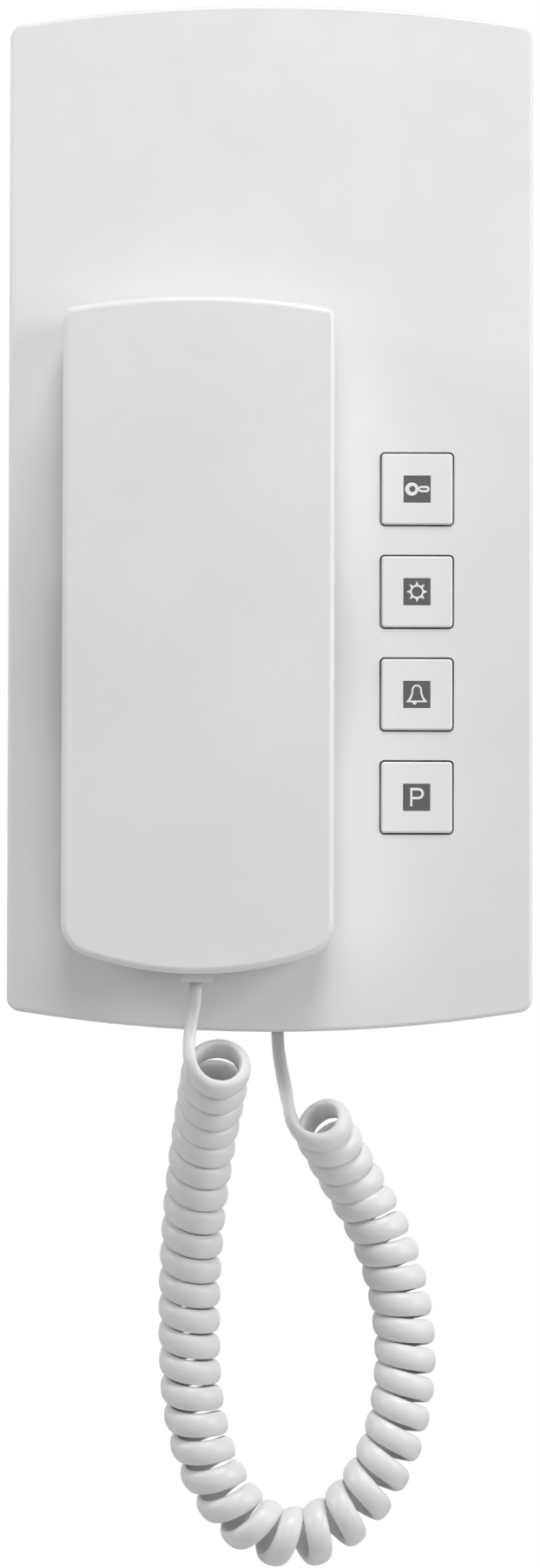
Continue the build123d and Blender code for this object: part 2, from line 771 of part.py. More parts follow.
# Back shell of the handset: two caps, a hand space between them, capsule rings and screw bosses
ear_place = (handset_x, ear_cap_z)
with BuildPart() as handset_back:
    extrude(
        panel_face(handset_land_depth, handset_shape), amount=handset_parting_depth - handset_land_depth
    )
    chamfer(handset_back.faces().sort_by(Axis.Y)[-1].edges(), handset_back_bevel)
    extrude(
        panel_face(handset_land_depth + handset_wall, handset_shape, handset_wall),
        amount=handset_parting_depth - handset_land_depth,
        mode=Mode.SUBTRACT,
    )
    extrude(grip_face(handset_wall, 0.0), amount=handset_width)
    extrude(grip_face(0.0, overcut), amount=handset_width, mode=Mode.SUBTRACT)
    cap_height = handset_land_depth - cap_floor_depth
    extrude(disc(cap_floor_depth, ear_place, ear_cap_radius), amount=cap_height)
    extrude(
        block(cap_floor_depth, mouth_place, mouth_cap_width, mouth_cap_height, mouth_cap_corner),
        amount=cap_height,
    )
    chamfer(handset_back.faces().group_by(Axis.Y)[-1].edges(), cap_edge_bevel)
    cap_inside_depth = cap_floor_depth + cap_wall
    extrude(
        disc(cap_inside_depth, ear_place, ear_cap_radius - cap_wall),
        amount=cap_height + overcut,
        mode=Mode.SUBTRACT,
    )
    extrude(
        block(
            cap_inside_depth,
            mouth_place,
            mouth_cap_width - 2 * cap_wall,
            mouth_cap_height - 2 * cap_wall,
            mouth_cap_corner - cap_wall,
        ),
        amount=cap_height + overcut,
        mode=Mode.SUBTRACT,
    )
    receiver_ring_radius = receiver_radius + fit_gap
    with BuildSketch(at_depth(cap_inside_depth)):
        with Locations(ear_place):
            Circle(receiver_ring_radius + capsule_ring_wall)
            Circle(receiver_ring_radius, mode=Mode.SUBTRACT)
    extrude(amount=receiver_ring_height)
    boot_radius = microphone_radius + boot_wall
    with BuildSketch(at_depth(cap_inside_depth)):
        with Locations(mouth_place):
            Circle(boot_radius + fit_gap + capsule_ring_wall)
            Circle(boot_radius + fit_gap, mode=Mode.SUBTRACT)
    extrude(amount=microphone_ring_height)
    with BuildSketch(at_depth(handset_land_depth + handset_wall)):
        with Locations(*handset_screw_places):
            Circle(handset_boss_radius + handset_wall)
    extrude(amount=handset_parting_depth - handset_land_depth - handset_wall)
    with BuildSketch(at_depth(handset_land_depth - overcut)):
        with Locations(*handset_screw_places):
            Circle(handset_screw_radius + screw_slip)
    extrude(amount=handset_parting_depth - handset_land_depth + 2 * overcut, mode=Mode.SUBTRACT)
    with BuildSketch(at_depth(handset_land_depth - overcut)):
        with Locations(*handset_screw_places):
            Circle(handset_screw_head_radius + fit_gap)
    extrude(amount=handset_screw_seat + overcut, mode=Mode.SUBTRACT)
    with BuildSketch(at_depth(cap_floor_depth - overcut)):
        with Locations(ear_place):
            Circle(sound_hole_radius)
            with PolarLocations(ear_hole_ring_radius, ear_hole_count):
                Circle(sound_hole_radius)
        with Locations(mouth_place):
            with PolarLocations(mouth_hole_ring_radius, mouth_hole_count):
                Circle(sound_hole_radius)
    extrude(amount=cap_wall + 2 * overcut, mode=Mode.SUBTRACT)
    extrude(plug_window_face(), amount=handset_wall + 2 * overcut, mode=Mode.SUBTRACT)
save(handset_back.part, "handset_back")

# Front shell of the handset: a crowned slab, hollow, with screw bosses and the plug window
handset_length = handset_top - handset_bottom
crown_half = handset_width / 2
crown_radius = (crown_half**2 + handset_crown**2) / (2 * handset_crown)
crown_reach = crown_half + overcut
crown_drop = sagitta(crown_radius, crown_reach)
with BuildPart() as handset_front:
    extrude(
        panel_face(handset_parting_depth, handset_shape),
        amount=handset_depth - handset_parting_depth + overcut,
    )
    with BuildSketch(Plane.XY.offset(handset_bottom - overcut)):
        with BuildLine():
            ThreePointArc(
                (handset_x - crown_reach, -handset_depth + crown_drop),
                (handset_x, -handset_depth),
                (handset_x + crown_reach, -handset_depth + crown_drop),
            )
            Polyline(
                (handset_x + crown_reach, -handset_depth + crown_drop),
                (handset_x + crown_reach, 0),
                (handset_x - crown_reach, 0),
                (handset_x - crown_reach, -handset_depth + crown_drop),
            )
        make_face()
    extrude(amount=handset_length + 2 * overcut, mode=Mode.INTERSECT)
    fillet(handset_front.faces().sort_by(Axis.Y)[0].edges(), handset_edge_round)
    extrude(
        panel_face(handset_parting_depth - overcut, handset_shape, handset_wall),
        amount=handset_inside_depth - handset_parting_depth + overcut,
        mode=Mode.SUBTRACT,
    )
    with BuildSketch(at_depth(handset_parting_depth + fit_gap)):
        with Locations(*handset_screw_places):
            Circle(handset_boss_radius)
    extrude(amount=handset_inside_depth - handset_parting_depth - fit_gap)
    with BuildSketch(at_depth(handset_parting_depth)):
        with Locations(*handset_screw_places):
            Circle(handset_screw_radius + screw_slip)
    extrude(amount=handset_inside_depth - handset_parting_depth - fit_gap, mode=Mode.SUBTRACT)
    extrude(plug_window_face(), amount=handset_wall + 2 * overcut, mode=Mode.SUBTRACT)
save(handset_front.part, "handset_front")

# Handset screws, driven from the back, all in one node
handset_screw_seat_depth = handset_land_depth + handset_screw_seat
with BuildPart() as handset_screws:
    with BuildSketch(at_depth(handset_screw_seat_depth)):
        with Locations(*handset_screw_places):
            Circle(handset_screw_radius)
    extrude(amount=handset_screw_length)
    with BuildSketch(at_depth(handset_screw_seat_depth)):
        with Locations(*handset_screw_places):
            Circle(handset_screw_head_radius)
    extrude(amount=-handset_screw_head_height)
save(handset_screws.part, "handset_screws")

# Receiver gasket and receiver capsule in the ear cap
with BuildPart() as receiver_gasket:
    with BuildSketch(at_depth(cap_inside_depth)):
        with Locations(ear_place):
            Circle(receiver_radius)
            Circle(receiver_radius - gasket_width, mode=Mode.SUBTRACT)
    extrude(amount=gasket_thickness)
save(receiver_gasket.part, "receiver_gasket")

receiver_depth = cap_inside_depth + gasket_thickness
with BuildPart() as ear_receiver:
    extrude(disc(receiver_depth, ear_place, receiver_radius), amount=receiver_height)
    extrude(
        disc(receiver_depth + receiver_height, ear_place, receiver_magnet_radius),
        amount=receiver_magnet_height,
    )
save(ear_receiver.part, "ear_receiver")

# Microphone and its rubber boot in the mouth cap
with BuildPart() as microphone_boot:
    extrude(disc(cap_inside_depth, mouth_place, boot_radius), amount=boot_floor + microphone_height)
    extrude(
        disc(cap_inside_depth + boot_floor, mouth_place, microphone_radius),
        amount=microphone_height + overcut,
        mode=Mode.SUBTRACT,
    )
    extrude(
        disc(cap_inside_depth - overcut, mouth_place, mouth_hole_ring_radius),
        amount=boot_floor + 2 * overcut,
        mode=Mode.SUBTRACT,
    )
save(microphone_boot.part, "microphone_boot")

with BuildPart() as microphone:
    extrude(
        disc(cap_inside_depth + boot_floor, mouth_place, microphone_radius - screw_slip),
        amount=microphone_height,
    )
save(microphone.part, "microphone")

# Steel weight over the hand space, inside the front shell
with BuildPart() as handset_weight:
    extrude(
        block(handset_parting_depth + seat_gap, (handset_x, grip_centre_z), weight_width, weight_length),
        amount=weight_height,
    )
save(handset_weight.part, "handset_weight")

# Handset socket and plug: the plug's cord end stands a little out of the handset's end
handset_line_place = (handset_x, -handset_plug_depth)
handset_plug_z = handset_bottom - handset_plug_proud
handset_socket_z = handset_bottom + handset_wall + seat_gap
handset_socket_half = plug_width / 2 + socket_slip + socket_wall / 2
save(
    socket_solid(
        handset_line_place,
        handset_socket_z,
        -handset_plug_depth + handset_socket_half,
        -handset_plug_depth - handset_socket_half,
    ),
    "handset_cord_socket",
)
save(plug_solid(handset_line_place, handset_plug_z, plug_length), "handset_cord_plug")


def corner_radii(route):
    """The arc at each inner point: 0.45 of the shorter run over the tangent of half the turn."""
    radii = []
    for before, at, after in zip(route, route[1:], route[2:]):
        run_in = Vector(*at) - Vector(*before)
        run_out = Vector(*after) - Vector(*at)
        half_turn = math.radians(run_in.get_angle(run_out)) / 2
        radii.append(corner_run_share * min(run_in.length, run_out.length) / math.tan(half_turn))
    return radii


def lead_solid(route, name):
    """A flat lead along straight runs joined by tangent arcs, its width along Y."""
    radii = corner_radii(route)
    with BuildPart() as lead:
        with BuildLine() as path:
            FilletPolyline(*route, radius=radii)
        line = path.wires()[0]
        with BuildSketch(Plane(origin=line @ 0, x_dir=(1, 0, 0), z_dir=line % 0)) as section:
            Rectangle(cord_thickness, cord_width)
        sweep(path=line)
    expected = section.sketch.area * line.length
    print(name, "radii", [round(radius, 1) for radius in radii], "length", round(line.length, 1))
    print(name, "volume", round(lead.part.volume, 1), "section times length", round(expected, 1))
    return lead.part, line


def axis_line(route):
    """The smooth line with the route as its control points: arcs of parabola between midpoints."""
    points = [Vector(*point) for point in route]
    joints = [(a + b) / 2 for a, b in zip(points[1:], points[2:-1])]
    ends = [points[0], *joints, points[-1]]
    with BuildLine() as line:
        for start, control, end in zip(ends, points[1:-1], ends[1:]):
            Bezier(start, control, end)
    return line.wires()[0]


def steady_frames(line):
    """Points along a line, each with its tangent and a side direction that doesn't twist."""
    points = [line @ (step / line_steps) for step in range(line_steps + 1)]
    tangents = [line % (step / line_steps) for step in range(line_steps + 1)]
    side = Vector(-1, 0, 0)
    side = (side - tangents[0] * side.dot(tangents[0])).normalized()
    sides = [side]
    for step in range(line_steps):
        chord = points[step + 1] - points[step]
        turned_side = sides[step] - chord * (2 * chord.dot(sides[step]) / chord.dot(chord))
        turned_tangent = tangents[step] - chord * (2 * chord.dot(tangents[step]) / chord.dot(chord))
        bend = tangents[step + 1] - turned_tangent
        square = bend.dot(bend)
        if square > 0:
            turned_side = turned_side - bend * (2 * bend.dot(turned_side) / square)
        sides.append(turned_side.normalized())
    return points, tangents, sides


def winding(line, radius, turns, spread):
    """Points and directions of a left-handed helix round a line, its turns opened in the middle."""
    points, tangents, sides = steady_frames(line)
    total = 2 * math.pi * turns
    path_points = []
    directions = []
    steps = round(turns * biarcs_per_turn)
    for step in range(steps + 1):
        target = step / steps
        along = target
        for _ in range(solver_rounds):
            value = along + spread * math.sin(2 * math.pi * along) / (2 * math.pi)
            slope = 1 + spread * math.cos(2 * math.pi * along)
            along = along - (value - target) / slope
        index = min(round(along * line_steps), line_steps)
        tangent = tangents[index]
        side = sides[index]
        across = tangent.cross(side)
        angle = total * target
        rate = total * (1 + spread * math.cos(2 * math.pi * along))
        outwards = side * math.cos(angle) - across * math.sin(angle)
        sideways = side * math.sin(angle) + across * math.cos(angle)
        path_points.append(points[index] + outwards * radius)
        directions.append((tangent * line.length - sideways * radius * rate).normalized())
    return path_points, directions


def arc_pair(start, start_direction, end, end_direction):
    """Adds two arcs that run tangent from one point and direction to another."""
    chord = end - start
    spread = 2 * (1 - start_direction.dot(end_direction))
    both = chord.dot(start_direction + end_direction)
    reach = (-both + math.sqrt(both**2 + spread * chord.dot(chord))) / spread
    middle = (start + start_direction * reach + end - end_direction * reach) / 2
    first = TangentArc(start, middle, tangent=start_direction)
    TangentArc(middle, end, tangent=first % 1)


def wind_arcs(points, directions):
    """Adds arc pairs through all points of a winding."""
    for step in range(len(points) - 1):
        arc_pair(points[step], directions[step], points[step + 1], directions[step + 1])


def least_gap(path, wire_radius):
    """The least distance between stretches of the path more than the skip apart, less the wire."""
    count = round(path.length)
    points = [path @ (step / count) for step in range(count + 1)]
    gap = path.length
    for index, point in enumerate(points):
        for other in points[index + gap_skip :]:
            gap = min(gap, (point - other).length)
    return gap - 2 * wire_radius


# The two flat leads
handset_lead, handset_lead_line = lead_solid(handset_lead_route, "cord_handset_lead")
save(handset_lead, "cord_handset_lead")
base_lead, base_lead_line = lead_solid(base_lead_route, "cord_base_lead")
save(base_lead, "cord_base_lead")

# The curled stretch, one unbroken tube from lead to lead
coil_line = axis_line(curl_axis_route)
coil_points, coil_directions = winding(coil_line, curl_radius, curl_turns, curl_spread_share)
curl_start = handset_lead_line @ 1
curl_start_direction = handset_lead_line % 1
curl_end = base_lead_line @ 1
curl_end_direction = (base_lead_line % 1) * -1
with BuildPart() as curly_cord:
    with BuildLine() as curl_path:
        Line(curl_start, curl_start + curl_start_direction * curl_straight)
        arc_pair(
            curl_start + curl_start_direction * curl_straight,
            curl_start_direction,
            coil_points[0],
            coil_directions[0],
        )
        wind_arcs(coil_points, coil_directions)
        arc_pair(
            coil_points[-1],
            coil_directions[-1],
            curl_end - curl_end_direction * curl_straight,
            curl_end_direction,
        )
        Line(curl_end - curl_end_direction * curl_straight, curl_end)
    curl_wire = curl_path.wires()[0]
    with BuildSketch(Plane(origin=curl_wire @ 0, z_dir=curl_wire % 0)) as curl_section:
        RegularPolygon(curl_wire_radius, curl_sides)
    sweep(path=curl_wire, clean=False)
curl_expected = curl_section.sketch.area * curl_wire.length
arc_radii = sorted(edge.radius for edge in curl_wire.edges() if edge.geom_type == GeomType.CIRCLE)
print("curly_cord turns", curl_turns, "wire length", round(curl_wire.length, 1))
print("curly_cord volume", round(curly_cord.part.volume, 1), "section times length", round(curl_expected, 1))
print("curly_cord arc radii from", round(arc_radii[0], 2), "to", round(arc_radii[-1], 2))
print("curly_cord least gap to itself", round(least_gap(curl_wire, curl_wire_radius), 2))
save(curly_cord.part, "curly_cord")

# Hook spring, standing on the wall plate under the plunger's flange
spring_foot = tray_thickness + screw_slip + spring_wire / 2
spring_head = hook_flange_depth - screw_slip - spring_wire / 2
with BuildPart() as hook_spring:
    with BuildLine() as spring_axis:
        Line((handset_x, -spring_foot, hook_z), (handset_x, -spring_head, hook_z))
    spring_points, spring_directions = winding(spring_axis.wires()[0], spring_coil_radius, spring_turns, 0)
    with BuildLine() as spring_path:
        wind_arcs(spring_points, spring_directions)
    spring_line = spring_path.wires()[0]
    with BuildSketch(Plane(origin=spring_line @ 0, z_dir=spring_line % 0)):
        RegularPolygon(spring_wire / 2, spring_sides)
    sweep(path=spring_line, clean=False)
save(hook_spring.part, "hook_spring")
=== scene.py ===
import math

import bpy
from mathutils import Matrix, Vector


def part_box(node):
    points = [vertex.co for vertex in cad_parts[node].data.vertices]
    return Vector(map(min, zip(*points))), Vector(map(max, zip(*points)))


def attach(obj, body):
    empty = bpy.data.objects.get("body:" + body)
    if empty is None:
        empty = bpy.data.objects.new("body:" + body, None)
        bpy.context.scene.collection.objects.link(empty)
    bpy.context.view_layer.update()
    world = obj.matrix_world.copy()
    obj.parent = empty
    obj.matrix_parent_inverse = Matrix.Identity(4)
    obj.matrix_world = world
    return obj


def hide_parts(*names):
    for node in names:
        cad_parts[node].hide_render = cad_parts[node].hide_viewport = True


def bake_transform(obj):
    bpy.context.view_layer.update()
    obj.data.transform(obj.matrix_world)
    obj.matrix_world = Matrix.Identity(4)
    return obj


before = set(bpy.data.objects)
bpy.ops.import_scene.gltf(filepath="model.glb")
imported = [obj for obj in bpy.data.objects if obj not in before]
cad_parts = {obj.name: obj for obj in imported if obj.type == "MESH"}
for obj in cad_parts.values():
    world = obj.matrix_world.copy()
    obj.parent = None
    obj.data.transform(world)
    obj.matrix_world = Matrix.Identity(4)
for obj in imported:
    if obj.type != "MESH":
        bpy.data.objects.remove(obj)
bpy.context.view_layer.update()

# All lengths are in metres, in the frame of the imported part: +Z up, front towards -Y. MM makes
# metres of millimetres.
MM = 0.001

# Camera: nearly straight on, a little below the middle, as in the photograph
view_height = 313.3 * MM
view_centre = Vector((0.0, -26.0, -53.5)) * MM
camera_distance = 1.15
camera_elevation = math.radians(-2.0)
camera_roll = math.radians(0.15)
sensor_size = 36.0

# Light: each lamp's name, place, size and power
lamps = (
    ("top_lamp", (0.15, -0.58, 1.1), 0.5, 9.6),
    ("front_lamp", (0.0, -1.1, 0.35), 0.4, 1.3),
    ("right_lamp", (0.66, -0.36, 0.15), 0.4, 2.8),
    ("left_lamp", (-0.66, -0.2, 0.25), 0.25, 1.9),
)
lamp_aim = (0.0, -0.02, -0.03)

# The world's light: its level before the object and behind it, and where along Y it changes
world_front = 0.0
world_back = 0.45
world_change_start = 0.0
world_change_end = 0.5

# The floor
floor_level = -0.34
floor_reach = 1.1
floor_colour = (0.7, 0.7, 0.7)
floor_roughness = 0.9

# Noise in the materials: its detail, and the part of its range that is used
noise_detail = 4.0
noise_low = 0.35
noise_high = 0.65

# Moulded plastic: cells to the metre of its tone, gloss and grain, its darkest tone as a share of
# its colour, the ends of its roughness as shares of the stated one, and the grain's relief
cloud_scale = 35.0
plastic_shade = 0.97
gloss_scale = 160.0
gloss_low = 0.9
gloss_high = 1.12
grain_scale = 2600.0
grain_detail = 2.0
grain_height = 0.01 * MM
grain_strength = 0.35

# Brushed metal: the same, with all three from one noise that is drawn out along Z
brush_scale = 900.0
brush_detail = 3.0
brush_stretch = (1, 1, 0.15)
brush_shade = 0.85
brush_gloss_low = 0.8
brush_gloss_high = 1.25
brush_height = 0.01 * MM
brush_strength = 0.3

# The cord's vinyl, with a slightly coarser grain
vinyl_grain_height = 0.012 * MM
vinyl_shade = 0.96

# The cord's flat band: its width, its height outwards and inwards from its line, and how square the
# corners of the two sides are
band_width = 4.85 * MM
band_outer_height = 1.6 * MM
band_inner_height = 0.8 * MM
band_outer_power = 2.15
band_inner_power = 2.8
ring_points = 20

# Where the band's outer face looks along both leads
lead_side = Vector((-1.0, -0.13, 0.0))

# The curls: their number, their radius to the band's line, and how much wider they get towards the
# handset. Widths of this kind are shares of the curls' line, which starts at the handset.
curl_turns = 38.58
curl_radius = 4.7 * MM
first_curl_share = 0.13
first_curl_width = 0.15

# Their lean, and how much more the ring at each end leans
curl_lean = 0.16
end_lean = 0.7
end_lean_width = 0.022

# Stretches with a longer pitch, each as its middle, its width and how much longer the pitch is
loose_stretches = ((0.53, 0.12, 0.3), (0.0, 0.03, 0.35), (1.0, 0.03, 0.2))

# How finely the cord is drawn
controls_per_turn = 16
steps_per_control = 3
axis_steps = 48
place_steps = 4000
last_place_margin = 0.001

# Signs on the key tiles, in millimetres across from the middle of the tile and up. Angles are in
# radians.
sign_height = 0.06
curve_steps = 10
key_bow_centre = -1.07
key_bow_radius = 1.33
key_eye_centre = -0.95
key_eye_radius = 0.62
key_neck = 0.36
key_shaft = ((0.1, 0.36), (0.8, 0.64))
key_tip_centre = 1.85
key_tip_radius = 0.64
key_slit = (0.75, 1.8, 0.2)
sun_ray_count = 8
sun_ray_reach = 2.14
sun_radius = 1.38
sun_hole_radius = 1.02
sun_ray_half_angle = 0.25
sun_arc_steps = 4
bell_dome_radius = 1.02
bell_dome_centre = 0.95
bell_stroke = 0.34
bell_waist = (1.05, -0.35)
bell_lip = (1.9, -1.22)
bell_lip_height = 0.34
bell_lip_inset = 1.6
bell_clapper = (-0.45, -1.5)
bell_clapper_radius = 0.46
letter_left = -1.28
letter_stroke = 0.44
letter_bowl_strokes = 1.2
letter_top = 1.9
letter_foot = -1.8
letter_bowl_foot = -0.4
letter_bowl_centre = 0.33

# The cord's routes in millimetres: those of the part's source, moved by up to about 8 mm, mostly
# along Y, to follow the photograph
handset_lead_route = (
    (-14.15, -41.7, -93.1),
    (-14.25, -41.75, -96.6),
    (-15.0, -42.4, -101.0),
    (-15.5, -43.6, -105.6),
)
base_lead_route = (
    (2.0, -11.6, -101.5),
    (2.0, -11.7, -105.6),
    (2.6, -13.2, -109.6),
    (3.3, -16.6, -113.2),
    (4.0, -20.6, -116.6),
)
curl_axis_route = (
    (-10.0, -46.4, -107.9),
    (-11.7, -34.4, -116.4),
    (-14.2, -24.8, -131.6),
    (-15.7, -20.2, -147.2),
    (-16.0, -17.9, -162.6),
    (-15.5, -17.0, -177.2),
    (-12.0, -17.0, -191.3),
    (-3.9, -17.0, -202.3),
    (7.0, -17.0, -205.3),
    (17.0, -16.6, -199.2),
    (24.7, -15.6, -187.4),
    (27.9, -14.2, -171.6),
    (26.8, -13.2, -156.6),
    (22.6, -13.2, -143.0),
    (15.0, -14.6, -130.0),
    (9.3, -25.4, -119.4),
)


def spline_points(points, steps, name):
    """Points along the smooth line that has these points as its controls."""
    data = bpy.data.curves.new(name, "CURVE")
    data.dimensions = "3D"
    data.resolution_u = steps
    spline = data.splines.new("NURBS")
    spline.points.add(len(points) - 1)
    for control, point in zip(spline.points, points):
        control.co = (*point, 1.0)
    spline.order_u = 3
    spline.use_endpoint_u = True
    holder = bpy.data.objects.new(name, data)
    bpy.context.scene.collection.objects.link(holder)
    bpy.context.view_layer.update()
    mesh = bpy.data.meshes.new_from_object(holder)
    line = [vertex.co.copy() for vertex in mesh.vertices]
    bpy.data.objects.remove(holder)
    bpy.data.meshes.remove(mesh)
    return line


def in_metres(route):
    """The route's points as vectors in metres."""
    return [Vector(point) * MM for point in route]


def tangents_of(points):
    """The direction of the line at each of its points."""
    last = len(points) - 1
    return [(points[min(i + 1, last)] - points[max(i - 1, 0)]).normalized() for i in range(last + 1)]


def steady_sides(points, tangents, side):
    """A side direction at each point, carried along without twist."""
    side = (side - tangents[0] * side.dot(tangents[0])).normalized()
    sides = [side]
    for before, after in zip(tangents, tangents[1:]):
        side = before.rotation_difference(after) @ side
        side = (side - after * side.dot(after)).normalized()
        sides.append(side)
    return sides


def lengths_along(points):
    """The distance from the first point to each point."""
    lengths = [0.0]
    for before, after in zip(points, points[1:]):
        lengths.append(lengths[-1] + (after - before).length)
    return lengths


def looseness(along):
    """How much wider than elsewhere the curls' pitch is at this share of their line."""
    return sum(
        more * math.exp(-(((along - middle) / width) ** 2))
        for middle, width, more in loose_stretches
    )


def turn_places(count):
    """The shares of the curls' line at which evenly counted stretches of the cord end."""
    sums = [0.0]
    for step in range(place_steps):
        sums.append(sums[-1] + 1 / (1 + looseness((step + 0.5) / place_steps)))
    places = []
    index = 0
    for item in range(count + 1):
        target = sums[-1] * item / count
        while index < place_steps - 1 and sums[index + 1] < target:
            index += 1
        share = (target - sums[index]) / (sums[index + 1] - sums[index])
        places.append((index + share) / place_steps)
    return places


def curl_controls():
    """Control points of the left-handed curls round the hanging line, and their outward directions.

    Each turn leans, the ring at each end most.
    """
    axis = spline_points(in_metres(curl_axis_route), axis_steps, "curl_axis")
    tangents = tangents_of(axis)
    sides = steady_sides(axis, tangents, Vector((-1, 0, 0)))
    lengths = lengths_along(axis)
    controls = []
    outwards = []
    count = round(curl_turns * controls_per_turn)
    index = 0
    for step, along in enumerate(turn_places(count)):
        reach = min(max(along, 0.0), 1.0) * lengths[-1]
        while index < len(axis) - 2 and lengths[index + 1] < reach:
            index += 1
        share = (reach - lengths[index]) / (lengths[index + 1] - lengths[index])
        centre = axis[index].lerp(axis[index + 1], share)
        tangent = tangents[index].lerp(tangents[index + 1], share).normalized()
        side = sides[index].lerp(sides[index + 1], share).normalized()
        across = tangent.cross(side)
        angle = 2 * math.pi * curl_turns * step / count
        outward = side * math.cos(angle) - across * math.sin(angle)
        nearest_end = min(along, 1 - along) / end_lean_width
        lean = (curl_lean + end_lean * math.exp(-(nearest_end**2))) * outward.y * tangent.z
        radius = curl_radius * (1 + first_curl_share * math.exp(-((along / first_curl_width) ** 2)))
        controls.append(centre + (outward + tangent * lean) * radius)
        outwards.append(outward)
    return controls, outwards


def band_ring(centre, tangent, outward):
    """One ring of the flat band: wide along the curls' axis, crowned on its outer face."""
    outward = (outward - tangent * outward.dot(tangent)).normalized()
    across = tangent.cross(outward)
    ring = []
    for step in range(ring_points):
        angle = 2 * math.pi * (step + 0.5) / ring_points
        outer = math.sin(angle) > 0
        power = 2 / (band_outer_power if outer else band_inner_power)
        height = band_outer_height if outer else band_inner_height
        wide = math.copysign(abs(math.cos(angle)) ** power, math.cos(angle))
        high = math.copysign(abs(math.sin(angle)) ** power, math.sin(angle))
        ring.append(centre + across * (wide * band_width / 2) + outward * (high * height))
    return ring


def tube_mesh(name, rings):
    """A closed tube through the rings, capped at both ends."""
    vertices = [point for ring in rings for point in ring]
    count = len(rings[0])
    faces = []
    for row in range(len(rings) - 1):
        for step in range(count):
            after = (step + 1) % count
            faces.append(
                (
                    row * count + step,
                    row * count + after,
                    (row + 1) * count + after,
                    (row + 1) * count + step,
                )
            )
    faces.append(tuple(reversed(range(count))))
    faces.append(tuple(range((len(rings) - 1) * count, len(rings) * count)))
    mesh = bpy.data.meshes.new(name)
    mesh.from_pydata([tuple(point) for point in vertices], [], faces)
    mesh.update()
    mesh.polygons.foreach_set("use_smooth", [True] * len(mesh.polygons))
    piece = bpy.data.objects.new(name, mesh)
    bpy.context.scene.collection.objects.link(piece)
    return piece


def make_camera():
    """The camera at the photograph's viewing angle."""
    data = bpy.data.cameras.new("camera")
    data.sensor_width = sensor_size
    data.lens = sensor_size * camera_distance / view_height
    camera = bpy.data.objects.new("camera", data)
    bpy.context.scene.collection.objects.link(camera)
    back = Vector((0, -math.cos(camera_elevation), math.sin(camera_elevation)))
    camera.location = view_centre + back * camera_distance
    camera.rotation_euler = (math.pi / 2 - camera_elevation, 0, 0)
    camera.rotation_euler.rotate_axis("Z", camera_roll)
    bpy.context.scene.camera = camera


def make_cord():
    """The whole cord as one flat band: the handset's lead, the curls and the base's lead."""
    curls, curl_outwards = curl_controls()
    handset_lead = in_metres(handset_lead_route)
    base_lead = in_metres(base_lead_route)[::-1]
    controls = handset_lead + curls + base_lead
    outwards = [lead_side] * len(handset_lead) + curl_outwards + [lead_side] * len(base_lead)
    path = spline_points(controls, steps_per_control, "cord_line")
    tangents = tangents_of(path)
    rings = []
    for index, (centre, tangent) in enumerate(zip(path, tangents)):
        place = index / (len(path) - 1) * (len(controls) - 2) + 0.5
        place = min(place, len(controls) - 1 - last_place_margin)
        before = int(place)
        outward = outwards[before].lerp(outwards[before + 1], place - before)
        rings.append(band_ring(centre, tangent, outward))
    cord = tube_mesh("curly_cord_band", rings)
    cord.data.materials.append(material_cord())
    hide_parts("curly_cord", "cord_handset_lead", "cord_base_lead")
    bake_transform(cord)


def new_material(name, colour, roughness, metallic=0.0):
    """A material with its shader's own constants set."""
    material = bpy.data.materials.new(name)
    material.use_nodes = True
    shader = material.node_tree.nodes["Principled BSDF"]
    shader.inputs["Base Color"].default_value = (*colour, 1.0)
    shader.inputs["Roughness"].default_value = roughness
    shader.inputs["Metallic"].default_value = metallic
    return material, material.node_tree, shader


def add_noise(tree, scale, detail=noise_detail, stretch=(1, 1, 1)):
    """A noise texture in object coordinates, at so many cells to the metre."""
    places = tree.nodes.new("ShaderNodeTexCoord")
    mapping = tree.nodes.new("ShaderNodeMapping")
    mapping.inputs["Scale"].default_value = stretch
    noise = tree.nodes.new("ShaderNodeTexNoise")
    noise.inputs["Scale"].default_value = scale
    noise.inputs["Detail"].default_value = detail
    tree.links.new(places.outputs["Object"], mapping.inputs["Vector"])
    tree.links.new(mapping.outputs["Vector"], noise.inputs["Vector"])
    return noise


def vary_colour(tree, shader, noise, low, high):
    """Base colour from one tone to another by the noise."""
    ramp = tree.nodes.new("ShaderNodeValToRGB")
    ramp.color_ramp.elements[0].position = noise_low
    ramp.color_ramp.elements[1].position = noise_high
    ramp.color_ramp.elements[0].color = (*low, 1.0)
    ramp.color_ramp.elements[1].color = (*high, 1.0)
    tree.links.new(noise.outputs["Fac"], ramp.inputs["Fac"])
    tree.links.new(ramp.outputs["Color"], shader.inputs["Base Color"])


def vary_roughness(tree, shader, noise, low, high):
    """Roughness from one value to another by the noise."""
    spread = tree.nodes.new("ShaderNodeMapRange")
    spread.inputs["From Min"].default_value = noise_low
    spread.inputs["From Max"].default_value = noise_high
    spread.inputs["To Min"].default_value = low
    spread.inputs["To Max"].default_value = high
    tree.links.new(noise.outputs["Fac"], spread.inputs["Value"])
    tree.links.new(spread.outputs["Result"], shader.inputs["Roughness"])


def add_bump(tree, shader, noise, height, strength):
    """Fine relief of this height, in metres, from the noise."""
    bump = tree.nodes.new("ShaderNodeBump")
    bump.inputs["Distance"].default_value = height
    bump.inputs["Strength"].default_value = strength
    tree.links.new(noise.outputs["Fac"], bump.inputs["Height"])
    tree.links.new(bump.outputs["Normal"], shader.inputs["Normal"])


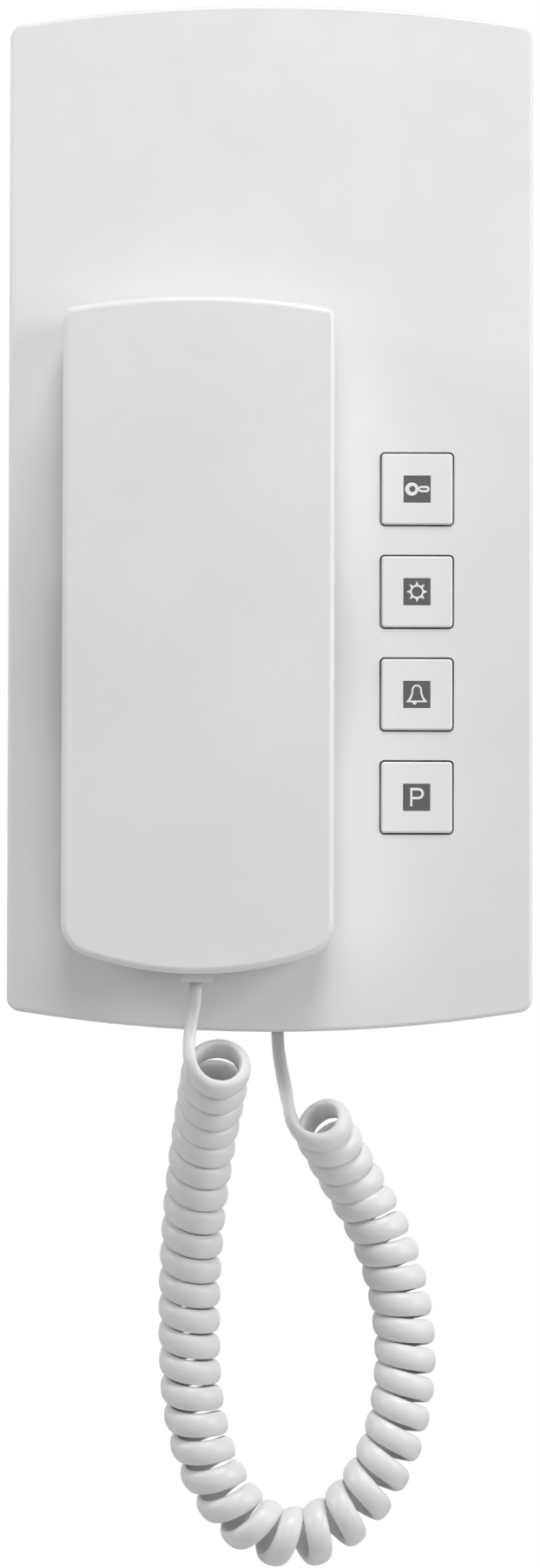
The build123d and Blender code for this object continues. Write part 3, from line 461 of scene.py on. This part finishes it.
def moulded_plastic(name, colour, roughness, relief=grain_height, shade=plastic_shade):
    """Moulded plastic: a fine even grain, slightly uneven gloss and a faint drift of its tone."""
    material, tree, shader = new_material(name, colour, roughness)
    cloud = add_noise(tree, cloud_scale)
    vary_colour(tree, shader, cloud, [channel * shade for channel in colour], colour)
    gloss = add_noise(tree, gloss_scale)
    vary_roughness(tree, shader, gloss, roughness * gloss_low, min(roughness * gloss_high, 1))
    add_bump(tree, shader, add_noise(tree, grain_scale, grain_detail), relief, grain_strength)
    return material


def brushed_metal(name, colour, roughness):
    """Turned or drawn steel with fine lines and a slightly uneven gloss."""
    material, tree, shader = new_material(name, colour, roughness, metallic=1.0)
    lines = add_noise(tree, brush_scale, brush_detail, brush_stretch)
    vary_colour(tree, shader, lines, [channel * brush_shade for channel in colour], colour)
    vary_roughness(tree, shader, lines, roughness * brush_gloss_low, roughness * brush_gloss_high)
    add_bump(tree, shader, lines, brush_height, brush_strength)
    return material


def material_cord():
    """Soft white vinyl with a satin skin."""
    return moulded_plastic("cord_vinyl", (0.8, 0.8, 0.802), 0.38, vinyl_grain_height, vinyl_shade)


def dress(material, *nodes):
    """Gives CAD nodes this material."""
    for node in nodes:
        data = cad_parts[node].data
        data.materials.clear()
        data.materials.append(material)


def dress_nodes():
    """A finished material on every CAD node."""
    housing = moulded_plastic("housing_white", (0.83, 0.83, 0.832), 0.34)
    dress(housing, "front_cover", "handset_front", "handset_back")
    keycap = moulded_plastic("key_white", (0.85, 0.85, 0.852), 0.32)
    tile = moulded_plastic("tile_grey", (0.09, 0.09, 0.094), 0.4)
    dark = moulded_plastic("moulded_black", (0.03, 0.03, 0.032), 0.5)
    for key in ("door", "light", "bell", "parking"):
        dress(keycap, f"{key}_key")
        dress(tile, f"{key}_key_tile")
        dress(dark, f"{key}_switch_button")
    dress(keycap, "hook_plunger")
    dress(dark, "push_switches", "call_sounder", "hook_switch", "ear_receiver", "microphone")
    dress(moulded_plastic("tray_white", (0.74, 0.74, 0.73), 0.5), "wall_plate")
    dress(moulded_plastic("plug_white", (0.76, 0.76, 0.75), 0.22), "handset_cord_plug", "base_cord_plug")
    dress(moulded_plastic("socket_ivory", (0.6, 0.6, 0.57), 0.5), "handset_cord_socket", "base_cord_socket")
    dress(moulded_plastic("board_green", (0.02, 0.12, 0.04), 0.35), "circuit_board")
    dress(moulded_plastic("terminal_blue", (0.03, 0.12, 0.3), 0.45), "terminal_block")
    dress(moulded_plastic("gasket_black", (0.02, 0.02, 0.02), 0.85), "receiver_gasket", "microphone_boot")
    steel = brushed_metal("screw_steel", (0.55, 0.55, 0.54), 0.35)
    dress(steel, "cover_screw", "board_screws", "terminal_screws", "handset_screws", "hook_spring")
    dress(brushed_metal("weight_iron", (0.28, 0.28, 0.29), 0.55), "handset_weight")


def arc(centre, radius, start, end, steps=curve_steps):
    """Points on an arc in the plane of a sign, from one angle to another in degrees."""
    points = []
    for step in range(steps + 1):
        angle = math.radians(start + (end - start) * step / steps)
        points.append((centre[0] + radius * math.cos(angle), centre[1] + radius * math.sin(angle)))
    return points


def curve_through(start, control, end):
    """Points on a parabola between two points, without its first point."""
    points = []
    for step in range(1, curve_steps + 1):
        t = step / curve_steps
        weights = ((1 - t) ** 2, 2 * t * (1 - t), t * t)
        points.append(tuple(sum(w * p[i] for w, p in zip(weights, (start, control, end))) for i in (0, 1)))
    return points


def circle(centre, radius):
    """A whole circle in the plane of a sign."""
    return arc(centre, radius, 0, 360, 4 * curve_steps)[:-1]


def key_sign():
    """A plain key: a round bow with an eye, and a slit shaft."""
    half_angle = math.degrees(math.asin(key_neck / key_bow_radius))
    outline = arc((key_bow_centre, 0), key_bow_radius, half_angle, 360 - half_angle, 3 * curve_steps)
    outline += [(x, -z) for x, z in key_shaft]
    outline += arc((key_tip_centre, 0), key_tip_radius, -90, 90)
    outline += list(reversed(key_shaft))
    low, high, half = key_slit
    slit = arc((high, 0), half, -90, 90) + arc((low, 0), half, 90, 270)
    return [outline, circle((key_eye_centre, 0), key_eye_radius), slit]


def sun_sign():
    """A ring with short pointed rays."""
    outline = []
    apart = 2 * math.pi / sun_ray_count
    for ray in range(sun_ray_count):
        angle = ray * apart
        outline.append((sun_ray_reach * math.cos(angle), sun_ray_reach * math.sin(angle)))
        start = math.degrees(angle + sun_ray_half_angle)
        end = math.degrees(angle + apart - sun_ray_half_angle)
        outline += arc((0, 0), sun_radius, start, end, sun_arc_steps)
    return [outline, circle((0, 0), sun_hole_radius)]


def bell_half(inset):
    """One side of the bell, from the top of its dome to its lip, drawn in by the inset."""
    radius = bell_dome_radius - inset
    dome = arc((0, bell_dome_centre), radius, 90, 0)
    waist = (bell_waist[0] - inset, bell_waist[1])
    lip = (bell_lip[0] - bell_lip_inset * inset, bell_lip[1])
    return dome + curve_through(dome[-1], waist, lip)


def bell_sign():
    """A bell in outline, with its clapper below."""
    right = bell_half(0.0)
    lip = bell_lip_height / 2
    foot = bell_lip[1] - bell_lip_height
    lip_centre = (bell_lip[0], bell_lip[1] - lip)
    right += arc(lip_centre, lip, 90, -90)
    left = [(-x, z) for x, z in reversed(right)]
    dip = arc((bell_clapper[0], foot), bell_clapper_radius, 180, 360)
    outline = right[1:] + list(reversed(dip)) + left
    inner = bell_half(bell_stroke)
    hole = inner + [(-x, z) for x, z in reversed(inner[1:])]
    return [outline, hole]


def letter_sign():
    """A plain letter P with a round bowl."""
    half = (letter_top - letter_bowl_foot) / 2
    middle = (letter_bowl_centre, letter_bowl_foot + half)
    right = letter_left + letter_stroke
    outline = [(letter_left, letter_foot), (letter_left, letter_top)]
    outline += arc(middle, half, 90, -90)
    outline += [(right, letter_bowl_foot), (right, letter_foot)]
    inner = half - letter_stroke * letter_bowl_strokes
    hole = [(right, middle[1] - inner), (right, middle[1] + inner)] + arc(middle, inner, 90, -90)
    return [outline, hole]


def make_sign(key, outlines, material):
    """A thin raised sign on a key's tile. An outline inside another is a hole."""
    data = bpy.data.curves.new(f"{key}_outline", "CURVE")
    data.dimensions = "2D"
    data.fill_mode = "BOTH"
    data.extrude = sign_height / 2 * MM
    for points in outlines:
        spline = data.splines.new("POLY")
        spline.points.add(len(points) - 1)
        for control, (x, z) in zip(spline.points, points):
            control.co = (x * MM, z * MM, 0, 1)
        spline.use_cyclic_u = True
    holder = bpy.data.objects.new(f"{key}_outline", data)
    bpy.context.scene.collection.objects.link(holder)
    bpy.context.view_layer.update()
    mesh = bpy.data.meshes.new_from_object(holder)
    bpy.data.objects.remove(holder)
    low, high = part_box(f"{key}_key_tile")
    place = Vector(((low[0] + high[0]) / 2, low[1], (low[2] + high[2]) / 2))
    mesh.transform(Matrix.Translation(place) @ Matrix.Rotation(math.pi / 2, 4, "X"))
    mesh.materials.clear()
    mesh.materials.append(material)
    sign = bpy.data.objects.new(f"{key}_sign", mesh)
    bpy.context.scene.collection.objects.link(sign)
    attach(sign, f"{key}_press")


def make_signs():
    """The four generic signs: key, sun, bell and letter."""
    material = moulded_plastic("sign_white", (0.88, 0.88, 0.89), 0.45)
    make_sign("door", key_sign(), material)
    make_sign("light", sun_sign(), material)
    make_sign("bell", bell_sign(), material)
    make_sign("parking", letter_sign(), material)


def make_floor():
    """A plain pale floor, well below the hanging cord."""
    mesh = bpy.data.meshes.new("floor")
    corners = [(-1, -1), (1, -1), (1, 1), (-1, 1)]
    points = [(x * floor_reach, y * floor_reach, floor_level) for x, y in corners]
    mesh.from_pydata(points, [], [(0, 1, 2, 3)])
    floor = bpy.data.objects.new("floor", mesh)
    bpy.context.scene.collection.objects.link(floor)
    material, _, _ = new_material("floor_pale", floor_colour, floor_roughness)
    floor.data.materials.append(material)


def make_world():
    """White where a camera, glossy or transmitted ray meets it, and soft light from behind elsewhere."""
    world = bpy.data.worlds.new("world")
    bpy.context.scene.world = world
    world.use_nodes = True
    tree = world.node_tree
    tree.nodes.clear()
    output = tree.nodes.new("ShaderNodeOutputWorld")
    shown = tree.nodes.new("ShaderNodeBackground")
    shown.inputs["Strength"].default_value = 1.0
    shown.inputs["Color"].default_value = (1, 1, 1, 1)
    light = tree.nodes.new("ShaderNodeBackground")
    light.inputs["Color"].default_value = (1, 1, 1, 1)
    direction = tree.nodes.new("ShaderNodeTexCoord")
    split = tree.nodes.new("ShaderNodeSeparateXYZ")
    level = tree.nodes.new("ShaderNodeMapRange")
    level.inputs["From Min"].default_value = world_change_start
    level.inputs["From Max"].default_value = world_change_end
    level.inputs["To Min"].default_value = world_front
    level.inputs["To Max"].default_value = world_back
    tree.links.new(direction.outputs["Generated"], split.inputs[0])
    tree.links.new(split.outputs["Y"], level.inputs["Value"])
    tree.links.new(level.outputs["Result"], light.inputs["Strength"])
    rays = tree.nodes.new("ShaderNodeLightPath")
    either = tree.nodes.new("ShaderNodeMath")
    either.operation = "MAXIMUM"
    any_of_three = tree.nodes.new("ShaderNodeMath")
    any_of_three.operation = "MAXIMUM"
    mix = tree.nodes.new("ShaderNodeMixShader")
    tree.links.new(rays.outputs["Is Camera Ray"], either.inputs[0])
    tree.links.new(rays.outputs["Is Glossy Ray"], either.inputs[1])
    tree.links.new(either.outputs[0], any_of_three.inputs[0])
    tree.links.new(rays.outputs["Is Transmission Ray"], any_of_three.inputs[1])
    tree.links.new(any_of_three.outputs[0], mix.inputs["Fac"])
    tree.links.new(light.outputs[0], mix.inputs[1])
    tree.links.new(shown.outputs[0], mix.inputs[2])
    tree.links.new(mix.outputs[0], output.inputs["Surface"])


def area_light(name, place, aim, size, power):
    """A square soft lamp at a place, turned to what it lights."""
    data = bpy.data.lights.new(name, "AREA")
    data.size = size
    data.energy = power
    lamp = bpy.data.objects.new(name, data)
    bpy.context.scene.collection.objects.link(lamp)
    lamp.location = place
    lamp.rotation_mode = "QUATERNION"
    lamp.rotation_quaternion = (Vector(aim) - Vector(place)).to_track_quat("-Z", "Y")


def make_lights():
    """Soft lamps from above, from both sides and, fainter, from the front."""
    for name, place, size, power in lamps:
        area_light(name, place, lamp_aim, size, power)


make_camera()
make_cord()
dress_nodes()
make_signs()
make_floor()
make_world()
make_lights()
bpy.context.scene.view_settings.view_transform = "Standard"
